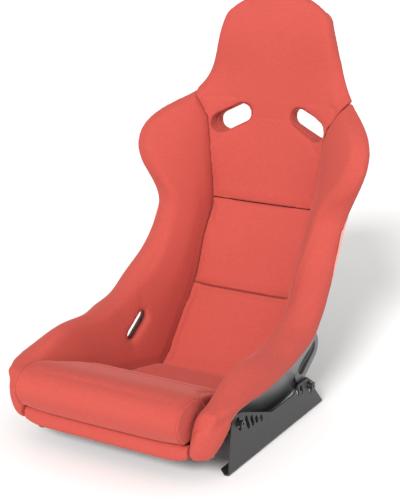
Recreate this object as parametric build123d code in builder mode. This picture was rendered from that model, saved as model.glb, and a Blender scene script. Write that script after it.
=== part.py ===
"""Fixed-back bucket seat on slotted side mounts.

Millimetres. +Z is up, the seat faces -Y, and +X is the right side of the drawing.
The origin lies midway between the two side mounts, at the level of their feet.
"""

from build123d import *
from collections import namedtuple
from math import acos, atan2, cos, hypot, pi, radians, sin
import os

os.makedirs("parts", exist_ok=True)

# ---------------------------------------------------------------- driving dimensions
LAMINATE = 4.0  # wall of the moulded shell
COVER = 3.0  # cloth and backing, where they wrap over the outside of the shell
EDGE_FOAM = 9.0  # from the laminate's edge out to the padding's widest point
BOND_GAP = 0.5  # glue line between padding and shell
SEAM_GAP = 0.6  # half the gap between two neighbouring pads
BULGE = 0.06  # how far a bolster's inner face swells, as a share of its length

HEAD_TOP_HEIGHT = 840.0
HEAD_ARCH_RADIUS = 165.0
HEAD_HALF_WIDTH = (150.0, 127.0)  # at the heights below
HEAD_SIDE_HEIGHTS = (700.0, 784.0)

CUSHION_HALF_WIDTH = 185.5  # at the front roll
CUSHION_REAR_HALF_WIDTH = 128.0
CUSHION_REAR = 116.0  # y of its rear edge
CUSHION_GAP = 4.5
TAPE = 2.0  # each half of the hook and loop tape
TAPE_SIZE = (50.0, 220.0)
TAPE_PLACE = (62.0, -90.0)  # x, y
GLUE = 0.15

MOUNT_OUTER = 224.0  # outer face of each side mount, from the middle of the seat
MOUNT_PLATE = 3.0
MOUNT_LENGTH = 412.0
STRIP_HEIGHT = 67.0
FOOT_WIDTH = 28.0
FOOT_HOLE_PITCH = 320.0
FOOT_HOLE = 8.5
foot_middle = MOUNT_OUTER - FOOT_WIDTH / 2 - 2

SCREW = 8.0  # M8
SLOT_WIDTH = 9.0
SLOT_LENGTH = 34.0
SLOT_LEAN = 27.3  # the slots lean forwards from the vertical, degrees
FRONT_SCREW = (-173.0, 97.0)  # y, z of the screws in the shell
REAR_SCREW = (134.0, 62.0)
SCREW_ABOVE_MIDDLE = 4.0  # the seat is set high in its slots

BOSS_RADIUS = 16.0  # moulded bosses in the shell's side walls
BOSS_START = 197.0  # their inner end, from the middle of the seat
INSERT_RADIUS = 7.0
SPACER_RADIUS = 11.0
SPACER_THICKNESS = 5.0
WASHER_RADIUS = 9.0
WASHER_THICKNESS = 2.0
SLIDE_GAP = 0.2  # from washer and spacer to the mount when the screws are slack
SCREW_END = 203.0
SCREW_HEAD_RADIUS = 6.5
KEY_FLATS = 6.0
BEND = 6.0  # outer radius of the mounts' fold
SHORT_SLOTS = [(-117.5, 80, 27), (-100, 76, 19), (-80, 71, 16), (97, 66, 24), (80, 67, 20)]

BELT_SLOT = (92.0, 40.0)  # length and width through the padding
BELT_SLOT_PLACE = (94.0, 559.0)  # x, z
BELT_SLOT_TILT = 27.0
SLEEVE = 2.5
SLEEVE_DEPTH = 30.0
SHOULDER_SEAM = ((150.0, 560.0), (286.0, 760.0))  # x, z of its foot, and a point up its line
LAP_OPENING = (84.0, 30.0)
LAP_OPENING_PLACE = (134.0, 124.0)  # y, z where it comes out of the shell
LAP_OPENING_TILT = 33.0
LAP_DRIFT = (1.2, -0.4)  # how far the belt runs rearwards and up for each mm outwards
LAP_FACE = 217.0  # where it comes out, from the middle of the seat

# ---------------------------------------------------------------- stations of the bucket
# Each station is a cross plane that stands on the shell's outer skin at (y, z) and leans
# forwards by lean degrees. In the plane, x is a half-width and h a height above that skin:
#   floor             half-width where the flat bottom or back starts to turn up
#   wall, wall_h      a point half-way up the side wall
#   rim, rim_h        the laminate's edge
#   hem_h             where the cover ends on the outside of the wall
#   seam, seam_h      foot of the bolster: its seam with the middle pads
#   crown             face of the middle pads on the centre line
#   tip, tip_h, roll  centre and radius of the bolster's rolled crest
Station = namedtuple(
    "Station", "y z lean floor wall wall_h rim rim_h hem_h seam seam_h crown tip tip_h roll"
)
LIP = Station(-290, 54, -12, 172, 208, 46, 228, 87, 38, 187, 49, 31, 215, 84, 21)
KNEE = Station(-262, 52, -9, 172, 211, 60, 237, 93, 50, 187, 46, 31, 218, 91, 23)
FRONT_THIGH = Station(-234, 50, -6, 171, 211, 72, 243, 99, 78, 186, 35, 24, 217, 97, 25)
THIGH = Station(-150, 40, 0, 171, 211, 78, 245, 115, 100, 167, 22, 24, 213, 125, 28)
SEAT = Station(-50, 28, 5, 169, 212, 68, 245, 132, 121, 156, 20, 24, 210, 139, 30)
CUSHION_SIDE = Station(30, 21, 12, 168, 213, 70, 241, 150, 131, 146, 20, 24, 206, 149, 32)
CREASE = Station(111, 20, 19, 166, 212, 74, 239, 170, 146, 132, 24, 24, 205, 165, 34)
HIP = Station(194, 42, 26, 162, 210, 76, 237, 176, 153, 132, 55, 51, 205, 172, 37)
HIP_REAR = Station(240, 100, 33, 160, 208, 72, 234, 152, 130, 133, 50, 49, 202, 147, 38)
LOW_SEAM = Station(280, 169, 40, 152, 203, 68, 227, 123, 108, 127, 43, 38, 191, 120, 37)
LOIN = Station(312, 238, 49, 146, 198, 52, 221, 99, 86, 125, 44, 33, 187, 97, 36)
WAIST = Station(340, 302, 60, 143, 196, 44, 218, 87, 78, 125, 40, 30, 187, 82, 36)
HIGH_SEAM = Station(371, 369, 71, 142, 203, 46, 229, 97, 78, 127, 34, 29, 197, 95, 34)
CHEST = Station(392, 445, 78, 142, 222, 60, 261, 122, 84, 134, 50, 32, 238, 118, 29)
SHOULDER = Station(404, 515, 83, 142, 226, 56, 268, 118, 86, 141, 58, 31, 249, 115, 25)
WING_TOP = Station(410, 560, 86, 138, 212, 44, 247, 93, 58, 150, 58, 30, 231, 93, 22)
NECK = Station(413, 598, 88, 124, 178, 20, 202, 46, 24, 162, 50, 31, 190, 45, 20)
HEAD_BASE = Station(415, 635, 90, 108, 150, 7, 168, 20, 8, 130, 34, 31, 158, 18, 17)
HEAD = Station(416, 715, 90, 92, 126, 3, 140, 12, 4, 86, 33, 32, 130, 15, 17)
HEAD_HIGH = Station(419, 784, 90, 84, 112, 3, 121, 10, 4, 74, 28, 28, 112, 12, 16)
HEAD_END = Station(432, 850, 90, 80, 106, 3, 116, 9, 4, 70, 20, 20, 106, 9, 12)

SEAT_STATIONS = [LIP, KNEE, FRONT_THIGH, THIGH, SEAT, CUSHION_SIDE, CREASE, HIP, HIP_REAR]
BACK_STATIONS = [LOW_SEAM, LOIN, WAIST, HIGH_SEAM, CHEST, SHOULDER, WING_TOP, NECK]
HEAD_STATIONS = [HEAD_BASE, HEAD, HEAD_HIGH, HEAD_END]
BUCKET = SEAT_STATIONS + BACK_STATIONS + HEAD_STATIONS

# Spacing of the points along the section curves, the same at every station so that they loft cleanly.
WALL_STEPS = (0, 0.4, 1.3, 2.0, 3.0, 4.0, 4.7, 5.6, 6.0)
BOLSTER_STEPS = (0, 0.1, 0.28, 0.4, 0.5, 0.75, 1)
HEAD_STEPS = (0, 0.12, 0.22, 0.32, 0.5, 1, 1.5, 1.68, 1.78, 1.88, 2)
SKIN_STEPS = 14


def plane_at(station):
    lean = radians(station.lean)
    return Plane((0, station.y, station.z), x_dir=(1, 0, 0), z_dir=(0, -cos(lean), -sin(lean)))


def ahead(station, distance):
    """The same station, moved forwards along the seat by distance."""
    lean = radians(station.lean)
    y = station.y - distance * cos(lean)
    z = station.z - distance * sin(lean)
    return station._replace(y=y, z=z)


def smooth(points, steps):
    """A smooth edge through points, its knots set so that neighbouring sections match."""
    return Edge.make_spline([Vector(*point) for point in points], parameters=list(steps))


def wall_curve(station):
    """The outer skin of the shell across a station, from the left rim to the right rim."""
    right = [
        (0.6 * station.floor, 0),
        (station.floor, 4),
        (station.wall, station.wall_h),
        (station.rim, station.rim_h),
    ]
    left = [(-x, h) for x, h in reversed(right)]
    return smooth(left + [(0, 0)] + right, WALL_STEPS)


def off_wall(curve, u, distance):
    """A point that stands off the skin by distance, inwards when it is positive."""
    along = curve % u
    place = curve @ u
    return (place.X - along.Y * distance, place.Y + along.X * distance)


def skin_line(station, start, end, distance):
    """A line that stands off the skin by distance between two places along it."""
    skin = wall_curve(station)
    shares = [start + (end - start) * step / SKIN_STEPS for step in range(SKIN_STEPS + 1)]
    return smooth([off_wall(skin, u, distance) for u in shares], range(SKIN_STEPS + 1))


def along_skin(curve, axis, value):
    """How far along the skin its right side reaches a half-width (axis X) or a height (axis Y)."""
    low, high = 0.5, 1.0
    for _ in range(30):
        middle = (low + high) / 2
        place = curve @ middle
        reached = place.X if axis == Axis.X else place.Y
        if reached < value:
            low = middle
        else:
            high = middle
    return low


def bolster_face(station, inset):
    """The bolster's outline from its hem over the rolled crest down to its seam."""
    skin = wall_curve(station)
    hem = off_wall(skin, along_skin(skin, Axis.Y, station.hem_h), inset - COVER)
    widest = (station.rim + EDGE_FOAM - inset, station.rim_h)
    roll = station.roll - inset
    seam = (station.seam + SEAM_GAP, station.seam_h - inset)
    run = seam[0] - station.tip
    rise = seam[1] - station.tip_h
    turn = atan2(rise, run) % (2 * pi) - acos(roll / hypot(run, rise))
    crest = [
        (station.tip + roll * cos(turn * share), station.tip_h + roll * sin(turn * share))
        for share in (0.4, 0.72, 1)
    ]
    run = seam[0] - crest[-1][0]
    rise = seam[1] - crest[-1][1]
    face = (
        (seam[0] + crest[-1][0]) / 2 + BULGE * rise,
        (seam[1] + crest[-1][1]) / 2 - BULGE * run,
    )
    return smooth([hem, widest, *crest, face, seam], BOLSTER_STEPS)


def bolster_form(stations, insets, under):
    """The right bolster. Its hidden side lies under off the skin, or follows the cover's inset."""
    with BuildPart() as form:
        for station, inset in zip(stations, insets):
            skin = wall_curve(station)
            foot = along_skin(skin, Axis.X, station.seam + SEAM_GAP)
            hem = along_skin(skin, Axis.Y, station.hem_h)
            face = bolster_face(station, inset)
            hidden = skin_line(station, foot, hem, under if under > 0 else under + inset)
            with BuildSketch(plane_at(station)):
                with BuildLine():
                    add(face)
                    Line(face @ 1, hidden @ 0)
                    add(hidden)
                    if under > 0:
                        Line(hidden @ 1, face @ 0)
                make_face()
        loft()
    return form.part


def middle_form(stations, insets, under):
    """Padding between the two seams, with its hidden side under off the skin."""
    with BuildPart() as form:
        for station, inset in zip(stations, insets):
            skin = wall_curve(station)
            edge = station.seam - SEAM_GAP
            foot = along_skin(skin, Axis.X, edge)
            hidden = skin_line(station, 1 - foot, foot, under + inset)
            side = (edge, station.seam_h - inset)
            shoulder = (edge * 0.6, station.crown - inset + (station.seam_h - station.crown) * 0.28)
            right = [side, shoulder]
            left = [(-x, h) for x, h in reversed(right)]
            face = smooth(right + [(0, station.crown - inset)] + left, (0, 0.4, 1, 1.6, 2))
            with BuildSketch(plane_at(station)):
                with BuildLine():
                    add(hidden)
                    Line(hidden @ 1, face @ 0)
                    add(face)
                    Line(face @ 1, hidden @ 0)
                make_face()
        loft()
    return form.part


def head_form(stations, under):
    """Padding over the whole width of the head, folded round both rims to its hems."""
    with BuildPart() as form:
        for station in stations:
            skin = wall_curve(station)
            hem = along_skin(skin, Axis.Y, station.hem_h)
            hidden = skin_line(station, 1 - hem, hem, under)
            right = [
                off_wall(skin, hem, -COVER),
                (station.rim + EDGE_FOAM, station.rim_h),
                (station.tip + 0.7 * station.roll, station.tip_h + 0.7 * station.roll),
                (station.tip, station.tip_h + station.roll),
                (station.seam, station.seam_h),
            ]
            left = [(-x, h) for x, h in reversed(right)]
            face = smooth(right + [(0, station.crown)] + left, HEAD_STEPS)
            with BuildSketch(plane_at(station)):
                with BuildLine():
                    add(hidden)
                    if under > 0:
                        Line(hidden @ 1, face @ 0)
                    add(face)
                    if under > 0:
                        Line(face @ 1, hidden @ 0)
                make_face()
        loft()
    return form.part


def wall_form(stations, outer, inner, past_rim):
    """The shell's wall from outer to inner off the skin, running past_rim beyond the rims."""
    with BuildPart() as form:
        for station in stations:
            outside = skin_line(station, 0, 1, outer)
            inside = skin_line(station, 0, 1, inner)
            rim_run = (wall_curve(station) % 1) * past_rim
            stub = [outside @ 1, outside @ 1 + rim_run, inside @ 1 + rim_run, inside @ 1]
            with BuildSketch(plane_at(station)):
                with BuildLine():
                    add(outside)
                    Polyline(*stub)
                    add(inside)
                    Polyline(*[(-place.X, place.Y) for place in stub])
                make_face()
        loft()
    return form.part


def head_arch(inset):
    """Everything under the arched outline of the head, moved inwards by inset."""
    low, high = HEAD_SIDE_HEIGHTS
    wide, narrow = [half - inset for half in HEAD_HALF_WIDTH]
    top = HEAD_TOP_HEIGHT - inset
    with BuildPart() as form:
        with BuildSketch(Plane.XZ):
            with BuildLine():
                side_right = Polyline((400, -400), (400, low), (wide, low), (narrow, high))
                side_left = Polyline((-400, -400), (-400, low), (-wide, low), (-narrow, high))
                ThreePointArc(side_right @ 1, (0, top), side_left @ 1)
                Line(side_left @ 0, side_right @ 0)
            make_face()
        extrude(amount=700, both=True)
    return form.part


def largest(part):
    """The biggest solid of a part, without the slivers that a cut leaves beside it."""
    return part.solids().sort_by(SortBy.VOLUME)[-1]


# ---------------------------------------------------------------- openings and screw places
belt_x, belt_z = BELT_SLOT_PLACE
lap_place = LAP_OPENING_PLACE
BACK_FACE = Plane((0, 394, 0), x_dir=(1, 0, 0), z_dir=(0, -1, 0))
SIDE_FACE = Plane((0, 0, 0), x_dir=(0, 1, 0), z_dir=(1, 0, 0))


def belt_openings(margin, depth):
    """Both shoulder belt slots, through the back."""
    length, width = [size + 2 * margin for size in BELT_SLOT]
    with BuildPart() as form:
        with BuildSketch(BACK_FACE):
            for side in (1, -1):
                with Locations((side * belt_x, belt_z)):
                    SlotOverall(length, width, rotation=-side * BELT_SLOT_TILT)
        extrude(amount=depth, both=True)
    return form.part


def lap_openings():
    """The lap belt opening of both hips, slanted the way that the belt runs."""
    reach = LAP_FACE - 140
    y, z = [place - drift * reach for place, drift in zip(lap_place, LAP_DRIFT)]
    with BuildPart() as form:
        for side in (1, -1):
            with BuildSketch(SIDE_FACE.offset(side * (LAP_FACE - reach))):
                with Locations((y, z)):
                    SlotOverall(*LAP_OPENING, rotation=LAP_OPENING_TILT)
            extrude(amount=(reach + 50) * hypot(1, *LAP_DRIFT), dir=(side, *LAP_DRIFT))
    return form.part


def side_discs(radius, start, end):
    """Discs on the four screws' axes, between two distances from the middle of the seat."""
    with BuildPart() as form:
        for side in (1, -1):
            with BuildSketch(SIDE_FACE.offset(side * start)):
                with Locations(SCREWS):
                    Circle(radius)
            extrude(amount=side * (end - start))
    return form.part


SCREWS = [FRONT_SCREW, REAR_SCREW]
mount_inner = MOUNT_OUTER - MOUNT_PLATE
boss_face = mount_inner - SPACER_THICKNESS
washer_face = MOUNT_OUTER + SLIDE_GAP
head_face = washer_face + WASHER_THICKNESS

# ---------------------------------------------------------------- shell
with BuildPart() as shell_room:
    add(wall_form([ahead(LIP, BOND_GAP)] + BUCKET[1:], -BOND_GAP, LAMINATE + BOND_GAP, 2 + BOND_GAP))
    add(head_arch(COVER - BOND_GAP), mode=Mode.INTERSECT)
    add(side_discs(BOSS_RADIUS + BOND_GAP, BOSS_START - BOND_GAP, boss_face))

with BuildPart() as shell:
    add(wall_form(BUCKET, 0, LAMINATE, 2))
    add(head_arch(COVER), mode=Mode.INTERSECT)
    add(side_discs(BOSS_RADIUS, BOSS_START, boss_face))
    add(belt_openings(SLEEVE + BOND_GAP, 60), mode=Mode.SUBTRACT)
    add(lap_openings(), mode=Mode.SUBTRACT)
    add(side_discs(INSERT_RADIUS, BOSS_START + 1, MOUNT_OUTER), mode=Mode.SUBTRACT)
shell.part.label = "shell"
export_step(shell.part, "parts/shell.step")

# ---------------------------------------------------------------- bolsters
seam_foot, seam_top = SHOULDER_SEAM
with BuildPart() as above_shoulder_seam:
    with BuildSketch(Plane.XZ):
        with BuildLine():
            Polyline(
                (seam_foot[0] - SEAM_GAP, seam_foot[1]),
                (seam_top[0] - SEAM_GAP, seam_top[1]),
                (0, seam_top[1]),
                (0, seam_foot[1]),
                close=True,
            )
        make_face()
    extrude(amount=600, both=True)

with BuildPart() as below_shoulder_seam:
    with BuildSketch(Plane.XZ):
        with BuildLine():
            Polyline(
                (seam_foot[0] - SEAM_GAP, seam_foot[1] - 40),
                (seam_foot[0] - SEAM_GAP, seam_foot[1]),
                (seam_top[0] - SEAM_GAP, seam_top[1]),
                (seam_top[0] + 200, seam_top[1]),
                (seam_top[0] + 200, seam_foot[1] - 40),
                close=True,
            )
        make_face()
        mirror(about=Plane.YZ)
    extrude(amount=600, both=True)

nose_stations = [ahead(LIP, 13), ahead(LIP, 9), ahead(LIP, 3), LIP]
nose_insets = [7, 2.5, 0, 0]
bolster_stations = SEAT_STATIONS + BACK_STATIONS + [HEAD_BASE]

with BuildPart() as bolster_right:
    add(bolster_form(bolster_stations, [0] * len(bolster_stations), LAMINATE / 2))
    add(bolster_form(nose_stations, nose_insets, -COVER))
    with Locations((2 * SEAM_GAP, 0, 0)):
        add(above_shoulder_seam.part, mode=Mode.SUBTRACT)
    add(shell_room.part, mode=Mode.SUBTRACT)
    add(lap_openings(), mode=Mode.SUBTRACT)
    add(largest(bolster_right.part), mode=Mode.REPLACE)
bolster_right.part.label = "bolster_right"
export_step(bolster_right.part, "parts/bolster_right.step")

with BuildPart() as bolster_left:
    mirror(bolster_right.part, about=Plane.YZ)
bolster_left.part.label = "bolster_left"
export_step(bolster_left.part, "parts/bolster_left.step")

# ---------------------------------------------------------------- middle pads
with BuildPart() as middle:
    add(middle_form(bolster_stations, [0] * len(bolster_stations), LAMINATE / 2))
    add(shell_room.part, mode=Mode.SUBTRACT)
    add(largest(middle.part), mode=Mode.REPLACE)

with BuildPart() as lower_back_pad:
    add(middle.part)
    split(bisect_by=plane_at(ahead(LOW_SEAM, SEAM_GAP)), keep=Keep.TOP)
    with BuildSketch(Plane.YZ):
        with BuildLine():
            rear = CUSHION_REAR + CUSHION_GAP
            Polyline((rear, -50), (rear, 44), (rear - 40, 90), (-350, 90), (-350, -50), close=True)
        make_face()
    extrude(amount=300, both=True, mode=Mode.SUBTRACT)
    add(largest(lower_back_pad.part), mode=Mode.REPLACE)
lower_back_pad.part.label = "lower_back_pad"
export_step(lower_back_pad.part, "parts/lower_back_pad.step")

with BuildPart() as lumbar_pad:
    add(middle.part)
    split(bisect_by=plane_at(ahead(LOW_SEAM, -SEAM_GAP)), keep=Keep.BOTTOM)
    split(bisect_by=plane_at(ahead(HIGH_SEAM, SEAM_GAP)), keep=Keep.TOP)
lumbar_pad.part.label = "lumbar_pad"
export_step(lumbar_pad.part, "parts/lumbar_pad.step")

with BuildPart() as upper_middle:
    add(middle_form(bolster_stations, [0] * len(bolster_stations), LAMINATE / 2))
    split(bisect_by=plane_at(ahead(HIGH_SEAM, -SEAM_GAP)), keep=Keep.BOTTOM)
    split(bisect_by=plane_at(NECK), keep=Keep.TOP)

with BuildPart() as head_back_pad:
    add(head_form([WING_TOP, NECK] + HEAD_STATIONS, LAMINATE / 2))
    add(below_shoulder_seam.part, mode=Mode.SUBTRACT)
    add(upper_middle.part)
    add(head_arch(0), mode=Mode.INTERSECT)
    add(shell_room.part, mode=Mode.SUBTRACT)
    add(belt_openings(SLEEVE + BOND_GAP, 60), mode=Mode.SUBTRACT)
head_back_pad.part.label = "head_back_pad"
export_step(head_back_pad.part, "parts/head_back_pad.step")

lip_stations = [station._replace(seam=186, seam_h=34) for station in nose_stations + [KNEE]]
with BuildPart() as front_lip_pad:
    add(middle_form(lip_stations, nose_insets + [0], -COVER))
    add(shell_room.part, mode=Mode.SUBTRACT)
    add(largest(front_lip_pad.part), mode=Mode.REPLACE)
front_lip_pad.part.label = "front_lip_pad"
export_step(front_lip_pad.part, "parts/front_lip_pad.step")

with BuildPart() as belt_slot_sleeves:
    add(belt_openings(SLEEVE, SLEEVE_DEPTH / 2))
    add(belt_openings(0, SLEEVE_DEPTH), mode=Mode.SUBTRACT)
belt_slot_sleeves.part.label = "belt_slot_sleeves"
export_step(belt_slot_sleeves.part, "parts/belt_slot_sleeves.step")

# ---------------------------------------------------------------- loose seat cushion
tape_low = LAMINATE + GLUE
loop_low = tape_low + TAPE + GLUE
cushion_low = loop_low + TAPE + GLUE


def tapes(low):
    """Two strips of tape along the shell's floor, from low off the skin."""
    with BuildPart() as form:
        add(wall_form(BUCKET, low, low + TAPE, 1))
        with BuildSketch(Plane.XY):
            with Locations((TAPE_PLACE[0], TAPE_PLACE[1]), (-TAPE_PLACE[0], TAPE_PLACE[1])):
                Rectangle(*TAPE_SIZE)
        extrude(amount=120, both=True, mode=Mode.INTERSECT)
    return form.part


with BuildPart() as seat_cushion:
    with BuildSketch(Plane.YZ):
        with BuildLine():
            top = Spline(
                (-292, 92),
                (-316, 103),
                (-330, 131),
                (-316, 163),
                (-288, 171),
                (-225, 159),
                (-150, 134),
                (-75, 98),
                (0, 66),
                (70, 44),
                (CUSHION_REAR, 38),
                tangents=((-1, 0), (1, 0)),
            )
            under = [(station.y, station.z + LAMINATE + 1) for station in SEAT_STATIONS[2:6]]
            foot = Polyline((CUSHION_REAR, 38), (CUSHION_REAR, 24), *reversed(under))
            Polyline(foot @ 1, (-251, 66), (-254, 92), top @ 0)
        make_face()
    extrude(amount=200, both=True)
    with BuildSketch(Plane.XY):
        with BuildLine():
            sides = [(s.seam - CUSHION_GAP, s.y) for s in (FRONT_THIGH, THIGH, SEAT, CUSHION_SIDE)]
            ends = [(CUSHION_HALF_WIDTH, -262)] + sides + [(CUSHION_REAR_HALF_WIDTH, CUSHION_REAR)]
            side = Spline(*ends, tangents=((0, 1), (-0.2, 1)))
            Polyline(side @ 1, (CUSHION_REAR_HALF_WIDTH, 150), (0, 150))
            Polyline(side @ 0, (CUSHION_HALF_WIDTH, -350), (0, -350))
            mirror(about=Plane.YZ)
        make_face()
    extrude(amount=400, both=True, mode=Mode.INTERSECT)
    add(wall_form(BUCKET, LAMINATE / 2, cushion_low, 1), mode=Mode.SUBTRACT)
    add(largest(seat_cushion.part), mode=Mode.REPLACE)
seat_cushion.part.label = "seat_cushion"
export_step(seat_cushion.part, "parts/seat_cushion.step")

with BuildPart() as hook_strips:
    add(tapes(tape_low))
hook_strips.part.label = "hook_strips"
export_step(hook_strips.part, "parts/hook_strips.step")

with BuildPart() as loop_strips:
    add(tapes(loop_low))
loop_strips.part.label = "loop_strips"
export_step(loop_strips.part, "parts/loop_strips.step")

# ---------------------------------------------------------------- side mounts
slot_rise = cos(radians(SLOT_LEAN))
slot_run = -sin(radians(SLOT_LEAN))


def slot_middle(screw):
    """The middle of the slot that holds a screw, which sits above it."""
    y, z = screw
    return (y - SCREW_ABOVE_MIDDLE * slot_run, z - SCREW_ABOVE_MIDDLE * slot_rise)


with BuildPart() as side_mount_right:
    with BuildSketch(Plane.XZ):
        with BuildLine():
            fold = FilletPolyline(
                (MOUNT_OUTER, 130), (MOUNT_OUTER, 0), (MOUNT_OUTER - FOOT_WIDTH, 0), radius=BEND
            )
            offset(fold, amount=MOUNT_PLATE, side=Side.RIGHT)
        make_face()
    extrude(amount=MOUNT_LENGTH / 2, both=True)
    with BuildSketch(SIDE_FACE):
        with BuildLine():
            half = MOUNT_LENGTH / 2
            Polyline(
                (-half, -1),
                (-half, STRIP_HEIGHT),
                (-half + 7, 106),
                (-half + 20, 117),
                (-162, 114),
                (-55, 74),
                (-38, STRIP_HEIGHT),
                (60, STRIP_HEIGHT),
                (84, 82),
                (127, 82),
                (163, 58),
                (163, 44),
                (half, 0),
                (half, -1),
                close=True,
            )
        make_face()
        fillet(vertices().filter_by_position(Axis.Z, 70, 130), radius=6)
    extrude(amount=300, both=True, mode=Mode.INTERSECT)
    with BuildSketch(SIDE_FACE):
        with Locations(slot_middle(FRONT_SCREW), slot_middle(REAR_SCREW), (-137.5, 84.5)):
            SlotOverall(SLOT_LENGTH, SLOT_WIDTH, rotation=90 + SLOT_LEAN)
        for y, z, length in SHORT_SLOTS:
            with Locations((y, z)):
                SlotOverall(length, SLOT_WIDTH, rotation=90 + SLOT_LEAN)
    extrude(amount=300, both=True, mode=Mode.SUBTRACT)
    with BuildSketch(Plane.XY):
        with Locations((foot_middle, -FOOT_HOLE_PITCH / 2), (foot_middle, FOOT_HOLE_PITCH / 2)):
            Circle(FOOT_HOLE / 2)
        for end in (1, -1):
            with BuildLine():
                corner = MOUNT_OUTER - FOOT_WIDTH
                Polyline(
                    (corner - 1, end * (half + 1)),
                    (corner - 1, end * (half - 16)),
                    (corner, end * (half - 16)),
                    (corner + 16, end * half),
                    (corner + 16, end * (half + 1)),
                    close=True,
                )
            make_face()
    extrude(amount=MOUNT_PLATE + 1, both=True, mode=Mode.SUBTRACT)
side_mount_right.part.label = "side_mount_right"
export_step(side_mount_right.part, "parts/side_mount_right.step")

with BuildPart() as side_mount_left:
    mirror(side_mount_right.part, about=Plane.YZ)
side_mount_left.part.label = "side_mount_left"
export_step(side_mount_left.part, "parts/side_mount_left.step")

# ---------------------------------------------------------------- screws, washers, spacers, inserts
with BuildPart() as mount_screws:
    add(side_discs(SCREW / 2 - 0.05, SCREW_END, head_face))
    add(side_discs(SCREW_HEAD_RADIUS, head_face, head_face + SCREW))
    for side in (1, -1):
        with BuildSketch(SIDE_FACE.offset(side * (head_face + SCREW))):
            with Locations(SCREWS):
                RegularPolygon(KEY_FLATS / 2, 6, major_radius=False)
        extrude(amount=-side * SCREW / 2, mode=Mode.SUBTRACT)
mount_screws.part.label = "mount_screws"
export_step(mount_screws.part, "parts/mount_screws.step")

with BuildPart() as mount_washers:
    add(side_discs(WASHER_RADIUS, washer_face, head_face))
    add(side_discs(SCREW / 2 + 0.2, washer_face - 1, head_face + 1), mode=Mode.SUBTRACT)
mount_washers.part.label = "mount_washers"
export_step(mount_washers.part, "parts/mount_washers.step")

with BuildPart() as mount_spacers:
    add(side_discs(SPACER_RADIUS, boss_face, mount_inner - SLIDE_GAP))
    add(side_discs(SCREW / 2 + 0.2, boss_face - 1, mount_inner), mode=Mode.SUBTRACT)
mount_spacers.part.label = "mount_spacers"
export_step(mount_spacers.part, "parts/mount_spacers.step")

with BuildPart() as threaded_inserts:
    add(side_discs(INSERT_RADIUS - 0.02, BOSS_START + 1, boss_face))
    add(side_discs(SCREW / 2, BOSS_START + 4, boss_face + 1), mode=Mode.SUBTRACT)
threaded_inserts.part.label = "threaded_inserts"
export_step(threaded_inserts.part, "parts/threaded_inserts.step")
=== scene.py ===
"""Racing seat: looks for a bucket shell with red cloth pads on slotted steel side mounts."""

import math

import bmesh
import bpy
import numpy as np
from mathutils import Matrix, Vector
from mathutils.bvhtree import BVHTree
from mathutils.kdtree import KDTree


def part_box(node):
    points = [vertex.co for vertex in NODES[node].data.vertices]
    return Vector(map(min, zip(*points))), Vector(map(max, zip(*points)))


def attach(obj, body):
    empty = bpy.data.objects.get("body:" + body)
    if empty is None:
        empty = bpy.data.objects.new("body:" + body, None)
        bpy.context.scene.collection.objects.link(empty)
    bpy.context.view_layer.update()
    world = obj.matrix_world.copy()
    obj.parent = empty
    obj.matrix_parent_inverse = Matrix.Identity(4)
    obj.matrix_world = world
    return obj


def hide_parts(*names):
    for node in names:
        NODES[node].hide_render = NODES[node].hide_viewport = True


bl_info = {
    "name": "Racing Seat",
    "version": (1, 0, 0),
    "blender": (4, 5, 0),
    "location": "View3D > Sidebar > Seat",
    "description": "Upholsters and finishes a racing seat round its packed frame",
    "category": "Object",
}

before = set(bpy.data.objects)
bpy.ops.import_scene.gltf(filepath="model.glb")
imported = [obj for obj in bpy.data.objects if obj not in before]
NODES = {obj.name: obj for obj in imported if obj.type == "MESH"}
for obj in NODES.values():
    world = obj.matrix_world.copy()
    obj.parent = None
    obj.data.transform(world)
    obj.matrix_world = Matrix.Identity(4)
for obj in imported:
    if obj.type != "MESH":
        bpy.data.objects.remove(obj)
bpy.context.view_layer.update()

# Each pad's node, its body, the size of the squares of its skin and how much more it may
# swell on open faces than beside a seam, both in mm, how full it is, and whether its cloth
# is only a thin fold over the shell's rim.
PADS = (
    ("bolster_right", "seat", 6.0, 2.6, 0.9, False),
    ("bolster_left", "seat", 6.0, 2.6, 0.9, False),
    ("head_back_pad", "seat", 2.9, 2.6, 0.9, True),
    ("lumbar_pad", "seat", 4.5, 3.4, 0.85, False),
    ("lower_back_pad", "seat", 4.5, 3.4, 0.85, False),
    ("front_lip_pad", "seat", 4.5, 2.6, 0.85, False),
    ("seat_cushion", "cushion", 5.0, 4.0, 0.8, False),
)

GLOSS_DRIFT = 0.09  # how far a hard surface's roughness wanders either way

# How a cover swells, in metres from here on.
SWELL_FRAMES = 20
SEAM_REACH = 0.02  # a neighbour nearer than this holds the foam back
SEAM_SWELL = 0.0008  # how far the foam may swell right beside a seam
SLIDE_LIMIT = 0.0008  # how far a point may slide along the surface

# Where the head's cloth is lifted over the shell's rim.
HEAD_FROM = 0.64  # height above the mounts' feet
RIM_WATCH = 0.006  # how far outside the cloth the rays towards the rim start
RIM_SEARCH = 0.0066  # how far they look, so that the cloth ends 0.6 mm outside the rim
RIM_LIFT = 0.004  # most that the cloth is lifted

# The cushion's cross seam and front roll.
SEAM_ENDS = 0.022  # from the cushion's sides in to the ends of the seam
SEAM_WIDTH = 0.0045
SEAM_DEPTH = 0.0028
SEAM_POINTS = 90
SEAM_LIFT = 0.0004  # from the cloth up to the stitches
ROLL_MIDDLE = (0.056, 0.048)  # behind the cushion's front and below its top
ROLL_SIDE = 0.006  # from the cushion's side in to its corded edge
ROLL_TURNS = (-2.6, -1.5 * math.pi)  # from the cord's start under the roll up to its top
ROLL_RAYS = 0.3  # how far from the roll's middle the rays for its cord start
ROLL_TOP = (0.01, 0.04)  # from the roll's middle, and from the rear edge, to the cord's top
ROLL_POINTS = (48, 70)  # round the roll, and along the cushion's top
ROLL_LIFT = 0.0006  # from the cloth out to the middle of the cord
RAY_START = 0.1  # how far above the cushion the rays for its seams start

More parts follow.
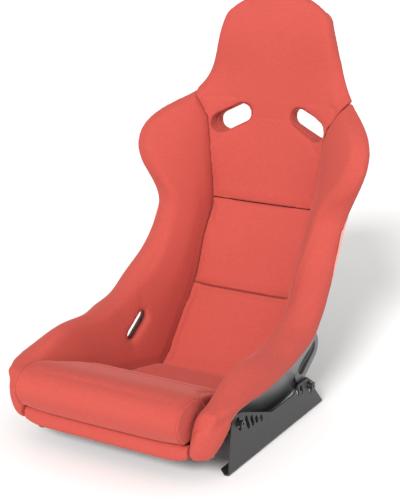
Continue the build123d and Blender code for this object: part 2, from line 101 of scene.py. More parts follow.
# The cloth's bound edge outside each hip: its stretches, and how it is found.
HEM_LOWER = (-0.264, 0.185)  # y, along the lower edge
HEM_REAR = (0.245, 0.56)  # z, up the rear edge
HEM_STEP = 0.008
HEM_REACH = 0.006  # how near a level a point has to be
HEM_FACING = 0.3  # how far outwards the cloth has to face
HEM_OUT = 0.2285  # least distance from the middle of the seat
HEM_OUT_NOSE = 0.2215  # the same in front of NOSE_REAR, where the hip is narrower
NOSE_REAR = -0.245

# The lap belt opening where it comes out of the hip: y and z of its middle, how far
# out its face lies, its length and width, its tilt, and the belt's slant.
LAP_PLACE = (0.134, 0.124)
LAP_FACE = 0.217
LAP_SIZE = (0.084, 0.030)
LAP_TILT = math.radians(33)
LAP_DRIFT = (1.2, -0.4)
LAP_DEPTH = 0.034  # from its face in to the end of its lining
LAP_STEPS = 14  # along each of its round ends
LINING_ENDS = (0.001, -0.0005)  # outside of the opening's edge, at the lining's two skins

# The profile of the flat rim round that opening. Outside: how far in from the rim's outer
# edge, and how far behind its face. Inside: how far out from the opening, and how far behind.
RIM_OUTSIDE = ((0, 0.016), (0, 0.0015), (0.0012, 0.0003), (0.0026, 0))
RIM_INSIDE = ((0.0016, 0), (0.0002, 0.0012))
# Faces in these rings take the near black finish: painted shade in the opening and behind the rim.
DARK_RINGS = (0, 1, 6, 7)  # the lining and the back of the rim, in the order they are laid

# The studio.
FLOOR_REACH = 30.0
FLOOR_DROP = 0.0005  # below the mounts' feet
PAPER = (0.93, 0.92, 0.91, 1)
KEY_TRAVEL = (-0.2, 1.0, -0.6)  # the way the light goes
SIDE_TRAVEL = (-1.0, 0.5, -0.45)
KEY_SPREAD = 15.0
SIDE_SPREAD = 110.0
SIDE_SHARE = 0.3  # of the key lamp's strength
LAMP_PLACE = (0, -2, 2)  # a far lamp lights the same from anywhere
CAMERA_PLACE = (1.252, -2.074, 1.071)
CAMERA_TURN = math.radians(30.32)  # to the side
CAMERA_DIP = math.radians(16.43)  # down


# ------------------------------------------------------------------ small helpers
def linear(code):
    """A hex colour as linear red, green, blue and alpha."""
    parts = [int(code[k : k + 2], 16) / 255 for k in (0, 2, 4)]
    return (*[c / 12.92 if c <= 0.04045 else ((c + 0.055) / 1.055) ** 2.4 for c in parts], 1.0)


def node(tree, kind, inputs=None, **settings):
    """Adds a node, sets its properties, then its inputs by name or number: a value or a link."""
    made = tree.nodes.new(kind)
    for name, value in settings.items():
        setattr(made, name, value)
    for name, value in (inputs or {}).items():
        if isinstance(value, bpy.types.NodeSocket):
            tree.links.new(value, made.inputs[name])
        else:
            made.inputs[name].default_value = value
    return made


def mesh_object(name, mesh):
    """A new object in the scene that shows a mesh."""
    made = bpy.data.objects.new(name, mesh)
    bpy.context.scene.collection.objects.link(made)
    return made


def baked(obj):
    """The object's mesh with its modifiers, as a plain mesh put back on it."""
    graph = bpy.context.evaluated_depsgraph_get()
    mesh = bpy.data.meshes.new_from_object(obj.evaluated_get(graph))
    obj.modifiers.clear()
    obj.data = mesh
    mesh.name = obj.name
    return mesh


def positions(mesh):
    """Where a mesh's points lie, one row each."""
    flat = np.empty(len(mesh.vertices) * 3)
    mesh.vertices.foreach_get("co", flat)
    return flat.reshape(-1, 3)


def normals(mesh):
    """Which way a mesh faces at its points, one row each."""
    flat = np.empty(len(mesh.vertices) * 3)
    mesh.vertex_normals.foreach_get("vector", flat)
    return flat.reshape(-1, 3)


def move(mesh, places):
    """Puts a mesh's points at new places."""
    mesh.vertices.foreach_set("co", np.asarray(places).ravel())
    mesh.update()


def smooth_shaded(mesh):
    """Shades all of a mesh's faces smoothly."""
    mesh.polygons.foreach_set("use_smooth", [True] * len(mesh.polygons))
    mesh.update()


# ------------------------------------------------------------------ finishes
def finish(name):
    """An empty node material with its output, its shader and object coordinates."""
    material = bpy.data.materials.new(name)
    material.use_nodes = True
    tree = material.node_tree
    tree.nodes.clear()
    shader = node(tree, "ShaderNodeBsdfPrincipled")
    node(tree, "ShaderNodeOutputMaterial", {"Surface": shader.outputs["BSDF"]})
    place = node(tree, "ShaderNodeTexCoord").outputs["Object"]
    return material, tree, shader, place


def velour_cloth(name, light, dark):
    """Short-pile upholstery cloth: matt, heathered yarns, a soft sheen at grazing angles."""
    material, tree, shader, place = finish(name)
    # Yarns are really about 0.6 mm; 1.7 mm is drawn so that they still show at arm's length.
    yarn = node(tree, "ShaderNodeTexNoise", {"Vector": place, "Scale": 600.0, "Detail": 2.0})
    # The weft: streaks about 7 mm long and 1.6 mm high that lie across the seat.
    weft = node(tree, "ShaderNodeMapping", {"Vector": place, "Scale": (140.0, 140.0, 620.0)})
    streak = node(
        tree, "ShaderNodeTexNoise", {"Vector": weft.outputs[0], "Scale": 1.0, "Detail": 1.0}
    )
    # Broad patches where the pile lies another way, so a little paler or darker.
    worn = node(tree, "ShaderNodeTexNoise", {"Vector": place, "Scale": 9.0, "Detail": 3.0})
    both = node(
        tree, "ShaderNodeMath", {0: yarn.outputs["Fac"], 1: streak.outputs["Fac"]}, operation="ADD"
    )
    spread = node(
        tree,
        "ShaderNodeMapRange",
        {"Value": both.outputs[0], "From Min": 0.75, "From Max": 1.25},
    )
    drift = node(
        tree,
        "ShaderNodeMapRange",
        {
            "Value": worn.outputs["Fac"],
            "From Min": 0.3,
            "From Max": 0.7,
            "To Min": -0.12,
            "To Max": 0.12,
        },
    )
    share = node(
        tree,
        "ShaderNodeMath",
        {0: spread.outputs[0], 1: drift.outputs[0]},
        operation="ADD",
        use_clamp=True,
    )
    colour = node(
        tree,
        "ShaderNodeMix",
        {"Factor": share.outputs[0], "A": dark, "B": light},
        data_type="RGBA",
    )
    tree.links.new(colour.outputs["Result"], shader.inputs["Base Color"])
    bump = node(
        tree,
        "ShaderNodeBump",
        {"Height": both.outputs[0], "Strength": 0.35, "Distance": 0.0006},
    )
    tree.links.new(bump.outputs[0], shader.inputs["Normal"])
    shader.inputs["Roughness"].default_value = 0.92
    shader.inputs["Specular IOR Level"].default_value = 0.15
    shader.inputs["Sheen Weight"].default_value = 0.25
    shader.inputs["Sheen Roughness"].default_value = 0.45
    shader.inputs["Sheen Tint"].default_value = linear("F0A096")
    return material


def grained(name, colour, roughness, metallic, grain, depth, coat=0.0):
    """A coated or bare hard surface: one colour, its gloss broken up by a fine grain."""
    material, tree, shader, place = finish(name)
    noise = node(tree, "ShaderNodeTexNoise", {"Vector": place, "Scale": grain, "Detail": 3.0})
    spread = node(
        tree,
        "ShaderNodeMapRange",
        {
            "Value": noise.outputs["Fac"],
            "To Min": max(0.05, roughness - GLOSS_DRIFT),
            "To Max": min(1.0, roughness + GLOSS_DRIFT),
        },
    )
    bump = node(
        tree, "ShaderNodeBump", {"Height": noise.outputs["Fac"], "Strength": 0.3, "Distance": depth}
    )
    tree.links.new(spread.outputs[0], shader.inputs["Roughness"])
    tree.links.new(bump.outputs[0], shader.inputs["Normal"])
    shader.inputs["Base Color"].default_value = colour
    shader.inputs["Metallic"].default_value = metallic
    shader.inputs["Coat Weight"].default_value = coat
    shader.inputs["Coat Roughness"].default_value = 0.25
    return material


FINISHES = {}


def make_finishes(colours):
    """Fills FINISHES: one material for each finish of the frame, and those of the trim."""
    cloth = (tuple(colours.cloth), tuple(colours.cloth_dark))
    # The bound edge's colours are paler than the cloth: a painted highlight along it.
    binding = (linear("E0968C"), linear("D88A80"))
    grey = tuple(colours.laminate)
    black = tuple(colours.steel)
    FINISHES.update(
        # Red seat cloth: reads as short pile, flat and warm, darker in its folds.
        red_fabric=velour_cloth("red_velour_cloth", *cloth),
        # The folded cloth tape along an edge, drawn paler than the pile: a painted highlight, the
        # thin light line along the cloth's lower edge.
        binding=velour_cloth("red_edge_painted_highlight_binding", *binding),
        # Sewing thread: smooth and a touch darker than the cloth.
        thread=grained("red_bonded_thread", linear("B83A38"), 0.6, 0.0, 900.0, 0.0002),
        # Gelcoat over glass fibre: satin grey with a slight orange peel and a soft highlight.
        grey_laminate=grained("grey_satin_gelcoat", grey, 0.38, 0.0, 120.0, 0.0002, 0.25),
        # Powder coat on folded steel: near black, half matt, with a fine pebble.
        black_steel=grained("black_powder_coat", black, 0.48, 0.0, 900.0, 0.0003),
        # Black oxide on screws: dark metal with a dull shine on its edges.
        screw_steel=grained("black_oxide_steel", linear("5C5C5E"), 0.3, 0.9, 700.0, 0.0001),
        # Zinc on spacers and inserts: pale metal, slightly clouded.
        spacer_steel=grained("zinc_plated_steel", linear("B4B6B8"), 0.32, 1.0, 300.0, 0.0001),
        # Hook and loop tape: black, dull and fuzzy.
        tape=grained("black_loop_tape", linear("141414"), 0.95, 0.0, 1500.0, 0.001),
        # Inside of the moulded openings, and the back of the lap belt rims: near black and dull, a
        # painted shade for the dark hole and the gap round the rim.
        dark_rim=grained("painted_shade_rim", linear("151517"), 0.6, 0.0, 300.0, 0.0002),
    )


def clothed(mesh):
    """Shades a mesh smoothly and puts the seat cloth on it."""
    smooth_shaded(mesh)
    mesh.materials.clear()
    mesh.materials.append(FINISHES["red_fabric"])


# ------------------------------------------------------------------ foam pads
# The cloth folded round the nose of a side bolster: for each y, points (x, z) in mm
# round the fold, from its lowest up the outside and back down inside the foam.
NOSE_FOLDS = (
    (
        -300,
        (192, 70), (201, 75), (208, 84), (213, 100), (213, 122),
        (203, 122), (196, 100), (190, 80),
    ),
    (
        -290,
        (192, 57), (207, 63), (217, 75), (225, 98), (226, 125),
        (205, 125), (196, 98), (186, 72),
    ),
    (
        -275,
        (200, 54), (218, 60), (229, 71), (236, 92), (237, 120),
        (212, 120), (205, 95), (192, 70),
    ),
    (
        -262,
        (213, 66), (225, 75), (235, 89), (241, 105), (243, 124),
        (222, 124), (214, 104), (205, 86),
    ),
    (
        -250,
        (226, 88), (233, 96), (239, 106), (242, 116), (243, 128),
        (228, 128), (222, 116), (217, 102),
    ),
    (
        -236,
        (236, 116), (239, 119), (241, 122), (243, 126), (243, 131),
        (234, 131), (231, 127), (229, 122),
    ),
)


def add_nose(shape, side):
    """Adds the fold round one bolster's nose, as a closed form that overlaps the bolster."""
    rings = [
        [shape.verts.new((side * x / 1000, fold[0] / 1000, z / 1000)) for x, z in fold[1:]]
        for fold in NOSE_FOLDS
    ]
    count = len(rings[0])
    for here, after in zip(rings, rings[1:]):
        for k in range(count):
            step = (k + 1) % count
            shape.faces.new((here[k], here[step], after[step], after[k]))
    shape.faces.new(rings[0])
    shape.faces.new(rings[-1])


def foam_start(name, voxel, inset, passes):
    """A pad's CAD solid as an even skin of squares, a little smaller than the solid."""
    shape = bmesh.new()
    shape.from_mesh(NODES[name].data)
    bmesh.ops.remove_doubles(shape, verts=shape.verts, dist=0.0001)
    if name.startswith("bolster"):
        add_nose(shape, 1 if name.endswith("right") else -1)
    bmesh.ops.recalc_face_normals(shape, faces=shape.faces)
    mesh = bpy.data.meshes.new(name + "_cover")
    shape.to_mesh(mesh)
    shape.free()
    mesh.materials.clear()
    cover = mesh_object(name + "_cover", mesh)
    remesh = cover.modifiers.new("Even skin", "REMESH")
    remesh.mode = "VOXEL"
    remesh.voxel_size = voxel
    remesh.adaptivity = 0.0
    soften = cover.modifiers.new("Soften", "SMOOTH")
    soften.factor = 0.5
    soften.iterations = passes
    mesh = baked(cover)
    move(mesh, positions(mesh) - normals(mesh) * inset)
    return cover


def room(cover, name, cap):
    """How far each point may swell: hardly at all beside a seam, and cap more away from it."""
    others = [tree_of(NODES[other[0]]) for other in PADS if other[0] != name]
    gaps = []
    for place in positions(cover.data):
        near = [tree.find_nearest(Vector(place), SEAM_REACH) for tree in others]
        gaps.append(min([found[3] for found in near if found[0] is not None], default=SEAM_REACH))
    share = np.clip(np.array(gaps) / SEAM_REACH, 0, 1)
    return SEAM_SWELL + cap * share * share * (3 - 2 * share)


def swell(cover, pressure, allowed):
    """Blows the cover up over its foam and keeps what goes outwards, up to a limit."""
    scene = bpy.context.scene
    start = positions(cover.data).copy()
    outward = normals(cover.data).copy()
    cloth = cover.modifiers.new("Cover", "CLOTH")
    cloth.settings.quality = 4
    cloth.settings.mass = 0.3
    cloth.settings.tension_stiffness = 18
    cloth.settings.compression_stiffness = 18
    cloth.settings.shear_stiffness = 8
    cloth.settings.bending_stiffness = 1.5
    cloth.settings.use_pressure = True
    cloth.settings.uniform_pressure_force = pressure
    cloth.settings.effector_weights.gravity = 0
    cloth.collision_settings.use_collision = False
    cloth.point_cache.frame_start = 1
    cloth.point_cache.frame_end = SWELL_FRAMES
    for number in range(1, SWELL_FRAMES + 1):
        scene.frame_set(number)
    baked(cover)
    scene.frame_set(1)
    moved = positions(cover.data) - start
    moved -= moved.mean(axis=0)
    rise = (moved * outward).sum(axis=1)
    sideways = moved - outward * rise[:, None]
    drift = np.linalg.norm(sideways, axis=1, keepdims=True)
    sideways *= SLIDE_LIMIT * np.tanh(drift / SLIDE_LIMIT) / np.maximum(drift, 1e-9)
    rise = np.clip(rise, 0.0, None)
    lifted = allowed * np.tanh(rise / allowed)
    move(cover.data, start + sideways + outward * lifted[:, None])


def cover_rim(cover):
    """Lifts the head's cloth wherever the shell's rim would stand through it."""
    mesh = cover.data
    rim = tree_of(NODES["shell"])
    places = positions(mesh).copy()
    outward = normals(mesh)
    lift = np.zeros(len(places))
    for index, (place, normal) in enumerate(zip(places, outward)):
        if place[2] > HEAD_FROM:
            start = Vector(place) + Vector(normal) * RIM_WATCH
            hit, _, _, distance = rim.ray_cast(start, -Vector(normal), RIM_SEARCH)
            if hit is not None:
                lift[index] = RIM_SEARCH - distance
    move(mesh, places + outward * np.clip(lift, 0, RIM_LIFT)[:, None])


def press_line(cover, path, width, depth):
    """Presses a line of stitching into a cover."""
    tree = KDTree(len(path))
    for index, place in enumerate(path):
        tree.insert(place, index)
    tree.balance()
    mesh = cover.data
    places = positions(mesh)
    outward = normals(mesh)
    gap = np.array([tree.find(place)[2] for place in places])
    move(mesh, places - outward * (depth * np.exp(-((gap / width) ** 2)))[:, None])


# ------------------------------------------------------------------ paths on the covers
def faces_of(obj):
    """The corners and faces of an object's mesh, as a search tree takes them."""
    return [v.co for v in obj.data.vertices], [list(p.vertices) for p in obj.data.polygons]


def tree_of(obj):
    """An object's mesh as a search tree."""
    return BVHTree.FromPolygons(*faces_of(obj))


def hits(tree, starts, aims, lift):
    """Where rays from starts in the directions of aims meet a cover, lifted off it a little."""
    found = []
    for start, aim in zip(starts, aims):
        place, normal, _, _ = tree.ray_cast(Vector(start), Vector(aim))
        if place is not None:
            found.append(place + normal * lift)
    return found


def evened(path, passes):
    """A path with its small kinks taken out; its ends stay."""
    points = [Vector(p) for p in path]
    for _ in range(passes):
        inner = [(a + b * 2 + c) / 4 for a, b, c in zip(points, points[1:], points[2:])]
        points = [points[0], *inner, points[-1]]
    return points


def line_mesh(name, paths):
    """Several open paths as one mesh of edges."""
    mesh = bpy.data.meshes.new(name)
    verts, edges = [], []
    for path in paths:
        first = len(verts)
        verts += [tuple(p) for p in path]
        edges += [(k, k + 1) for k in range(first, len(verts) - 1)]
    mesh.from_pydata(verts, edges, [])
    return mesh


def path_tree(name, sizes):
    """A new Geometry Nodes tree: itself, its inputs, and its paths cut at an even pitch."""
    tree = bpy.data.node_groups.new(name, "GeometryNodeTree")
    tree.interface.new_socket("Path", in_out="INPUT", socket_type="NodeSocketGeometry")
    tree.interface.new_socket("Trim", in_out="OUTPUT", socket_type="NodeSocketGeometry")
    for size, default in sizes.items():
        socket = tree.interface.new_socket(size, in_out="INPUT", socket_type="NodeSocketFloat")
        socket.default_value = default
    tree.interface.new_socket("Finish", in_out="INPUT", socket_type="NodeSocketMaterial")
    group = node(tree, "NodeGroupInput")
    curve = node(tree, "GeometryNodeMeshToCurve", {"Mesh": group.outputs["Path"]})
    even = node(
        tree,
        "GeometryNodeResampleCurve",
        {"Curve": curve.outputs[0], "Length": group.outputs["Pitch"]},
        mode="LENGTH",
    )
    return tree, group, even


def end_tree(tree, group, laid):
    """Makes what a tree has laid real and puts its finish on it."""
    real = node(tree, "GeometryNodeRealizeInstances", {"Geometry": laid.outputs[0]})
    dressed = node(
        tree,
        "GeometryNodeSetMaterial",
        {"Geometry": real.outputs[0], "Material": group.outputs["Finish"]},
    )
    node(tree, "NodeGroupOutput", {"Trim": dressed.outputs[0]})
    return tree


def cord_tree():
    """Geometry nodes that lay a round cord of one thickness along every path."""
    tree, group, even = path_tree("Cord along path", {"Radius": 0.002, "Pitch": 0.004})
    ring = node(
        tree,
        "GeometryNodeCurvePrimitiveCircle",
        {"Resolution": 8, "Radius": group.outputs["Radius"]},
    )
    cord = node(
        tree,
        "GeometryNodeCurveToMesh",
        {"Curve": even.outputs[0], "Profile Curve": ring.outputs[0], "Fill Caps": True},
    )
    return end_tree(tree, group, cord)


def stitch_tree():
    """Geometry nodes that lay short round-ended stitches end to end along every path."""
    sizes = {"Pitch": 0.006, "Stitch Length": 0.004, "Radius": 0.0007}
    tree, group, even = path_tree("Stitches along path", sizes)
    tangent = node(tree, "GeometryNodeInputTangent")
    turn = node(
        tree, "FunctionNodeAlignRotationToVector", {"Vector": tangent.outputs[0]}, axis="Z"
    )
    ball = node(tree, "GeometryNodeMeshUVSphere", {"Segments": 6, "Rings": 4, "Radius": 1.0})
    half = node(
        tree, "ShaderNodeMath", {0: group.outputs["Stitch Length"], 1: 0.5}, operation="MULTIPLY"
    )
    size = node(
        tree,
        "ShaderNodeCombineXYZ",
        {0: group.outputs["Radius"], 1: group.outputs["Radius"], 2: half.outputs[0]},
    )
    laid = node(
        tree,
        "GeometryNodeInstanceOnPoints",
        {
            "Points": even.outputs[0],
            "Instance": ball.outputs[0],
            "Rotation": turn.outputs[0],
            "Scale": size.outputs[0],
        },
    )
    return end_tree(tree, group, laid)


def trim_piece(name, paths, tree, body, slot, **values):
    """Lays trim along paths on one body and turns it into a plain mesh."""
    piece = mesh_object(name, line_mesh(name, paths))
    modifier = piece.modifiers.new("Trim", "NODES")
    modifier.node_group = tree
    names = {item.name: item.identifier for item in tree.interface.items_tree}
    for key, value in values.items():
        modifier[names[key.replace("_", " ")]] = value
    mesh = baked(piece)
    if not mesh.polygons:
        raise RuntimeError(f"{name} came out empty")
    smooth_shaded(mesh)
    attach(piece, body)


# ------------------------------------------------------------------ settings
def colour_property(name, description, code):
    """A colour that a user can change, from its hex code."""
    return bpy.props.FloatVectorProperty(
        name=name,
        description=description,
        default=linear(code),
        size=4,
        min=0.0,
        max=1.0,
        subtype="COLOR",
    )


class ColourSettings(bpy.types.PropertyGroup):
    """Colours of the cloth, the shell and the mounts"""

    cloth: colour_property("Seat cloth", "Colour of the cloth's paler yarns", "B24C43")
    cloth_dark: colour_property("Cloth shade", "Colour of the cloth's darker yarns", "AC463E")
    laminate: colour_property("Shell", "Colour of the bare moulded shell", "494A4D")
    steel: colour_property("Mounts", "Colour of the side mounts' coating", "29292B")


class UpholsterySettings(bpy.types.PropertyGroup):
    """How the covers are filled"""

    pressure: bpy.props.FloatProperty(
        name="Pressure",
        description="Air pressure that fills the covers",
        default=4.0,
        min=0.0,
    )
    inset: bpy.props.FloatProperty(
        name="Inset",
        description="How much smaller than its solid a cover starts",
        default=0.0003,
        subtype="DISTANCE",
        unit="LENGTH",
    )
    lining_voxel: bpy.props.FloatProperty(
        name="Lining grain",
        description="Size of the squares of the belt slot linings",
        default=0.0025,
        subtype="DISTANCE",
        unit="LENGTH",
    )


class TrimSettings(bpy.types.PropertyGroup):
    """Sizes of the piping, the hems, the cushion's seam and the lap belt rims"""

    piping: bpy.props.FloatProperty(
        name="Piping radius",
        description="Radius of the cushion's corded edge",
        default=0.0022,
        subtype="DISTANCE",
        unit="LENGTH",
    )
    hem: bpy.props.FloatProperty(
        name="Hem radius",
        description="Radius of the bound lower edge of the cloth",
        default=0.0018,
        subtype="DISTANCE",
        unit="LENGTH",
    )
    seam_y: bpy.props.FloatProperty(
        name="Cushion seam",
        description="Where the seam crosses the cushion, from the middle of the mounts",
        default=-0.150,
        subtype="DISTANCE",
        unit="LENGTH",
    )
    rim: bpy.props.FloatProperty(
        name="Rim width",
        description="Width of the flat rim round each lap belt opening",
        default=0.018,
        subtype="DISTANCE",
        unit="LENGTH",
    )


class StudioSettings(bpy.types.PropertyGroup):
    """Strength of the lights, and the camera's lens"""

    sky: bpy.props.FloatProperty(
        name="Room light",
        description="Strength of the even light from all round",
        default=0.6,
        min=0.0,
    )
    key: bpy.props.FloatProperty(
        name="Key light",
        description="Strength of the far lamp in front",
        default=3.2,
        min=0.0,
    )
    lens: bpy.props.FloatProperty(
        name="Lens",
        description="Focal length for a frame 36 mm high",
        default=90.3,
        unit="CAMERA",
    )


# ------------------------------------------------------------------ operators
class SEAT_OT_finishes(bpy.types.Operator):
    """Makes the finishes and puts them on the hard parts"""

    bl_idname = "seat.finishes"
    bl_label = "Finishes"

    def execute(self, context):
        make_finishes(context.scene.seat_colours)
        for name, part in NODES.items():
            for slot in part.material_slots:
                slot_name = slot.material.name.split(".")[0]
                if slot_name not in FINISHES:
                    raise RuntimeError(f"{name} has an unknown finish {slot_name}")
                slot.material = FINISHES[slot_name]
        return {"FINISHED"}


class SEAT_OT_pads(bpy.types.Operator):
    """Upholsters every foam pad"""

    bl_idname = "seat.pads"
    bl_label = "Foam pads"

    def execute(self, context):
        settings = context.scene.seat_upholstery
        for name, body, voxel, cap, fill, thin in PADS:
            # A thin fold isn't inset and is softened less, so that it stays over the rim.
            inset, passes = (0.0, 2) if thin else (settings.inset, 3)
            cover = foam_start(name, voxel / 1000, inset, passes)
            allowed = room(cover, name, cap / 1000)
            swell(cover, settings.pressure, allowed)
            if name == "seat_cushion":
                seam = cushion_seam(cover, context.scene.seat_trim.seam_y)
                press_line(cover, seam, SEAM_WIDTH, SEAM_DEPTH)
            if thin:
                cover_rim(cover)
            else:
                fine = cover.modifiers.new("Fine", "SUBSURF")
                fine.levels = 1
                fine.render_levels = 1
            mesh = baked(cover)
            if not mesh.polygons:
                raise RuntimeError(f"the cover of {name} came out empty")
            clothed(mesh)
            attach(cover, body)
            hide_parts(name)
        return {"FINISHED"}


class SEAT_OT_slot_linings(bpy.types.Operator):
    """Rolls the cloth into both shoulder belt slots"""

    bl_idname = "seat.slot_linings"
    bl_label = "Belt slot linings"

    def execute(self, context):
        settings = context.scene.seat_upholstery
        lining = foam_start("belt_slot_sleeves", settings.lining_voxel, 0.0, 3)
        mesh = lining.data
        if not mesh.polygons:
            raise RuntimeError("the belt slot linings came out empty")
        clothed(mesh)
        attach(lining, "seat")
        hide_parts("belt_slot_sleeves")
        return {"FINISHED"}


def cushion_seam(cover, seam_y):
    """The seam across the top of the cushion, from side to side."""
    low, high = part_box("seat_cushion")
    across = np.linspace(low[0] + SEAM_ENDS, high[0] - SEAM_ENDS, SEAM_POINTS)
    starts = [(x, seam_y, high[2] + RAY_START) for x in across]
    return evened(hits(tree_of(cover), starts, [(0, 0, -1)] * len(starts), SEAM_LIFT), 4)


def roll_end(tree, side):
    """The corded edge round one end of the front roll and back along the top of that side."""
    low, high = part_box("seat_cushion")
    x = side * (high[0] - ROLL_SIDE)
    middle = (low[1] + ROLL_MIDDLE[0], high[2] - ROLL_MIDDLE[1])
    starts, aims = [], []
    for turn in np.linspace(*ROLL_TURNS, ROLL_POINTS[0]):
        aim = (0.0, -math.cos(turn), -math.sin(turn))
        starts.append((x, middle[0] - aim[1] * ROLL_RAYS, middle[1] - aim[2] * ROLL_RAYS))
        aims.append(aim)
    for y in np.linspace(middle[0] + ROLL_TOP[0], high[1] - ROLL_TOP[1], ROLL_POINTS[1]):
        starts.append((x, y, high[2] + RAY_START))
        aims.append((0, 0, -1))
    return evened(hits(tree, starts, aims, ROLL_LIFT), 10)


def edge_points(places, axis, stretch, across, choose):
    """Level by level along one axis, the point that is chosen by its place along another."""
    path = []
    for level in np.arange(*stretch, HEM_STEP):
        near = places[np.abs(places[:, axis] - level) < HEM_REACH]
        if len(near):
            path.append(near[choose(near[:, across])])
    return path


def hem(cover, side):
    """The lower edge of the cloth outside one hip, then the rear edge up to the shoulder."""
    places = positions(cover.data)
    outward = normals(cover.data)
    least = np.where(places[:, 1] < NOSE_REAR, HEM_OUT_NOSE, HEM_OUT)
    outer = places[(outward[:, 0] * side > HEM_FACING) & (places[:, 0] * side > least)]
    lower = edge_points(outer, 1, HEM_LOWER, 2, np.argmin)
    rear = edge_points(outer, 2, HEM_REAR, 1, np.argmax)
    return evened(lower + rear, 12)


class SEAT_OT_trim(bpy.types.Operator):
    """Adds the cushion's piping and stitching and the bound edge of the cloth"""

    bl_idname = "seat.trim"
    bl_label = "Piping, hems and stitches"

    def execute(self, context):
        settings = context.scene.seat_trim
        cords = cord_tree()
        stitches = stitch_tree()
        cushion = bpy.data.objects["seat_cushion_cover"]
        tree = tree_of(cushion)
        trim_piece(
            "cushion_piping",
            [roll_end(tree, side) for side in (1, -1)],
            cords,
            "cushion",
            "red_fabric",
            Radius=settings.piping,
            Finish=FINISHES["red_fabric"],
        )
        trim_piece(
            "cushion_stitches",
            [cushion_seam(cushion, settings.seam_y)],
            stitches,
            "cushion",
            "red_fabric",
            Finish=FINISHES["thread"],
        )
        hems = [
            hem(bpy.data.objects[name + "_cover"], side)
            for name, side in (("bolster_right", 1), ("bolster_left", -1))
        ]
        # The bound edge takes the pale finish: a painted highlight along the cloth's lower edge.
        trim_piece(
            "cloth_hems",
            hems,
            cords,
            "seat",
            "red_fabric",
            Radius=settings.hem,
            Finish=FINISHES["binding"],
        )
        return {"FINISHED"}


def slot_loop(margin, x, shift):
    """The lap belt opening's outline, grown by margin, at x, moved along the belt's slant."""
    length, width = LAP_SIZE
    radius = width / 2 + margin
    reach = (length - width) / 2
    loop = []
    for end in (1, -1):
        for k in range(LAP_STEPS + 1):
            turn = math.pi * (k / LAP_STEPS - 0.5) + (0 if end == 1 else math.pi)
            along = end * reach + radius * math.cos(turn)
            over = radius * math.sin(turn)
            y = LAP_PLACE[0] + along * math.cos(LAP_TILT) - over * math.sin(LAP_TILT)
            z = LAP_PLACE[1] + along * math.sin(LAP_TILT) + over * math.cos(LAP_TILT)
            loop.append((x, y + LAP_DRIFT[0] * shift, z + LAP_DRIFT[1] * shift))
    return loop


class SEAT_OT_lap_rims(bpy.types.Operator):
    """Moulds the flat rim round both lap belt openings"""

    bl_idname = "seat.lap_rims"
    bl_label = "Lap belt rims"

    def execute(self, context):
        rim = context.scene.seat_trim.rim
        shape = bmesh.new()
        for side in (1, -1):
            # From the lining's end out to the rim's back edge, over its face, and back in.
            start, end = [slot_loop(edge, LAP_FACE - LAP_DEPTH, -LAP_DEPTH) for edge in LINING_ENDS]
            outside = [slot_loop(rim - edge, LAP_FACE - back, 0) for edge, back in RIM_OUTSIDE]
            inside = [slot_loop(edge, LAP_FACE - back, 0) for edge, back in RIM_INSIDE]
            rings = [start, *outside, *inside, end]
            made = [[shape.verts.new((side * x, y, z)) for x, y, z in ring] for ring in rings]
            count = len(made[0])
            for step, (inner, outer) in enumerate(zip(made, made[1:] + made[:1])):
                for k in range(count):
                    after = (k + 1) % count
                    face = shape.faces.new((inner[k], inner[after], outer[after], outer[k]))
                    face.material_index = int(step in DARK_RINGS)
        bmesh.ops.recalc_face_normals(shape, faces=shape.faces)
        mesh = bpy.data.meshes.new("lap_belt_rims")
        shape.to_mesh(mesh)
        shape.free()
        mesh.materials.append(FINISHES["grey_laminate"])
        # The second finish is near black: painted shade inside the opening and behind the rim.
        mesh.materials.append(FINISHES["dark_rim"])
        rims = mesh_object("lap_belt_rims", mesh)
        smooth_shaded(mesh)
        mesh.set_sharp_from_angle(angle=math.radians(40))
        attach(rims, "seat")
        return {"FINISHED"}


def far_lamp(name, travel, spread, power):
    """A far lamp whose light travels one way, with soft edges to its shadows."""
    light = bpy.data.lights.new(name, "SUN")
    light.angle = math.radians(spread)
    light.energy = power
    made = bpy.data.objects.new(name, light)
    made.location = LAMP_PLACE
    made.rotation_euler = Vector(travel).to_track_quat("-Z", "Y").to_euler()
    bpy.context.scene.collection.objects.link(made)


def paper_floor():
    """The pale floor that the seat's shadow falls on."""
    reach = FLOOR_REACH
    corners = [(-reach, -reach), (reach, -reach), (reach, reach), (-reach, reach)]
    mesh = bpy.data.meshes.new("studio_floor")
    mesh.from_pydata([(x, y, -FLOOR_DROP) for x, y in corners], [], [(0, 1, 2, 3)])
    floor = mesh_object("studio_floor", mesh)
    # Matt white paper: no gloss, only the soft shadow shows on it.
    material, _, shader, _ = finish("pale_studio_paper")
    shader.inputs["Base Color"].default_value = PAPER
    shader.inputs["Roughness"].default_value = 1.0
    shader.inputs["Specular IOR Level"].default_value = 0.0
    mesh.materials.append(material)


def white_room(scene, sky):
    """Even light from all round, and plain white behind the seat."""
    world = bpy.data.worlds.new("studio_room")
    scene.world = world
    world.use_nodes = True
    tree = world.node_tree
    tree.nodes.clear()
    ray = node(tree, "ShaderNodeLightPath")
    seen = node(
        tree,
        "ShaderNodeMath",
        {0: ray.outputs["Is Camera Ray"], 1: ray.outputs["Is Transmission Ray"]},
        operation="MAXIMUM",
    )
    soft = node(tree, "ShaderNodeBackground", {"Color": (1, 1, 1, 1), "Strength": sky})
    white = node(tree, "ShaderNodeBackground", {"Color": (1, 0.99, 0.98, 1), "Strength": 1.0})
    both = node(
        tree,
        "ShaderNodeMixShader",
        {0: seen.outputs[0], 1: soft.outputs[0], 2: white.outputs[0]},
    )
    node(tree, "ShaderNodeOutputWorld", {"Surface": both.outputs[0]})


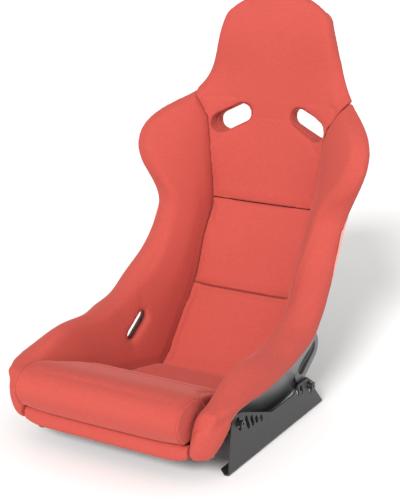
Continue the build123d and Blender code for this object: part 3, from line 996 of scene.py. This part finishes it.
def front_camera(scene, lens):
    """The camera in front of the seat, above it and off to its +X side."""
    data = bpy.data.cameras.new("front_camera")
    data.sensor_fit = "VERTICAL"
    data.sensor_height = 36.0
    data.lens = lens
    data.clip_end = 100.0
    camera = bpy.data.objects.new("front_camera", data)
    scene.collection.objects.link(camera)
    camera.location = CAMERA_PLACE
    level = math.cos(CAMERA_DIP)
    aim = Vector(
        (-math.sin(CAMERA_TURN) * level, math.cos(CAMERA_TURN) * level, -math.sin(CAMERA_DIP))
    )
    camera.rotation_euler = aim.to_track_quat("-Z", "Y").to_euler()
    scene.camera = camera


class SEAT_OT_studio(bpy.types.Operator):
    """Sets up the pale floor, the soft lights and the camera"""

    bl_idname = "seat.studio"
    bl_label = "Studio"

    def execute(self, context):
        scene = context.scene
        settings = scene.seat_studio
        paper_floor()
        white_room(scene, settings.sky)
        far_lamp("key_lamp", KEY_TRAVEL, KEY_SPREAD, settings.key)
        far_lamp("side_lamp", SIDE_TRAVEL, SIDE_SPREAD, settings.key * SIDE_SHARE)
        front_camera(scene, settings.lens)
        scene.view_settings.view_transform = "Standard"
        return {"FINISHED"}


class SEAT_PT_panel(bpy.types.Panel):
    """Lists the steps that build the seat"""

    bl_idname = "SEAT_PT_panel"
    bl_label = "Racing Seat"
    bl_space_type = "VIEW_3D"
    bl_region_type = "UI"
    bl_category = "Seat"

    def draw(self, context):
        for operator in OPERATORS:
            self.layout.operator(operator.bl_idname)


OPERATORS = (
    SEAT_OT_finishes,
    SEAT_OT_pads,
    SEAT_OT_slot_linings,
    SEAT_OT_trim,
    SEAT_OT_lap_rims,
    SEAT_OT_studio,
)
SETTINGS = (ColourSettings, UpholsterySettings, TrimSettings, StudioSettings)
CLASSES = (*SETTINGS, *OPERATORS, SEAT_PT_panel)


def register():
    """Registers the classes and hangs the settings on the scene."""
    for item in CLASSES:
        bpy.utils.register_class(item)
    bpy.types.Scene.seat_colours = bpy.props.PointerProperty(type=ColourSettings)
    bpy.types.Scene.seat_upholstery = bpy.props.PointerProperty(type=UpholsterySettings)
    bpy.types.Scene.seat_trim = bpy.props.PointerProperty(type=TrimSettings)
    bpy.types.Scene.seat_studio = bpy.props.PointerProperty(type=StudioSettings)


def unregister():
    """Takes the settings and the classes away again."""
    del bpy.types.Scene.seat_studio
    del bpy.types.Scene.seat_trim
    del bpy.types.Scene.seat_upholstery
    del bpy.types.Scene.seat_colours
    for item in reversed(CLASSES):
        bpy.utils.unregister_class(item)


def main():
    """Builds the whole seat."""
    register()
    bpy.ops.seat.finishes()
    bpy.ops.seat.pads()
    bpy.ops.seat.slot_linings()
    bpy.ops.seat.trim()
    bpy.ops.seat.lap_rims()
    bpy.ops.seat.studio()


if __name__ == "__main__":
    main()
